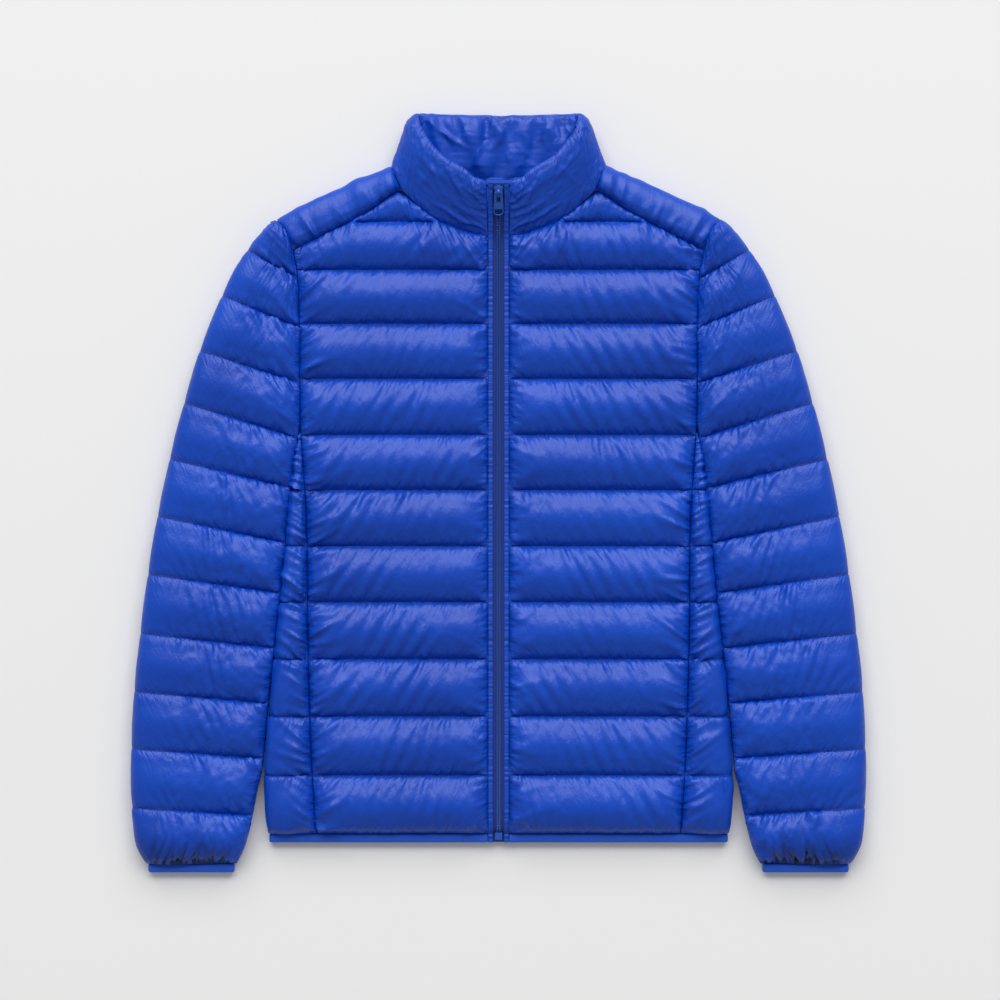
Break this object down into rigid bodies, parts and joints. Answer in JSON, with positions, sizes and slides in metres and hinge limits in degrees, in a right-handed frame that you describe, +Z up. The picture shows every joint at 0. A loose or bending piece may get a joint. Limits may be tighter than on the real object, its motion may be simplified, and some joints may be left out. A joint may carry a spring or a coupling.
{
  "type": "quilted puffer jacket",
  "caption": "Blue quilted puffer jacket laid flat, with a stand collar, a full-length front zip closed up to the collar, long sleeves, and bound hem and cuffs.",
  "frame": {"origin": "middle of the jacket's outline, on the surface that it lies on", "axes": "+X to the viewer's right, which is the wearer's left, +Y towards the collar, +Z up from the surface"},
  "size_m": [0.735, 0.7601, 0.042],
  "materials": {
    "shell_nylon": "shiny light nylon, quilted",
    "binding": "elastic binding and folded edging",
    "zip_tape": "woven zip tape",
    "zip_chain": "nylon coil",
    "zip_hardware": "painted blue"
  },
  "bodies": {
    "jacket": {"front_left": "shell_nylon", "front_right": "shell_nylon", "side_panel_left": "shell_nylon", "side_panel_right": "shell_nylon", "yoke_left": "shell_nylon", "yoke_right": "shell_nylon", "sleeve_left": "shell_nylon", "sleeve_right": "shell_nylon", "back": "shell_nylon", "collar": "shell_nylon", "hem_binding": "binding", "cuff_binding_left": "binding", "cuff_binding_right": "binding", "placket_left": "binding", "placket_right": "binding", "neck_tape": "binding", "zip_tape_left": "zip_tape", "zip_tape_right": "zip_tape", "zip_chain_left": "zip_chain", "zip_chain_right": "zip_chain", "zip_box": "zip_hardware", "zip_slider": "zip_hardware"},
    "pull": {"zip_pull": "zip_hardware"}
  },
  "joints": [
    {"name": "pull_hinge", "type": "hinge", "parent": "jacket", "child": "pull", "pos_m": [0, 0.29802, 0.03675], "axis": [-1, 0, 0], "range_deg": [0, 160]}
  ]
}
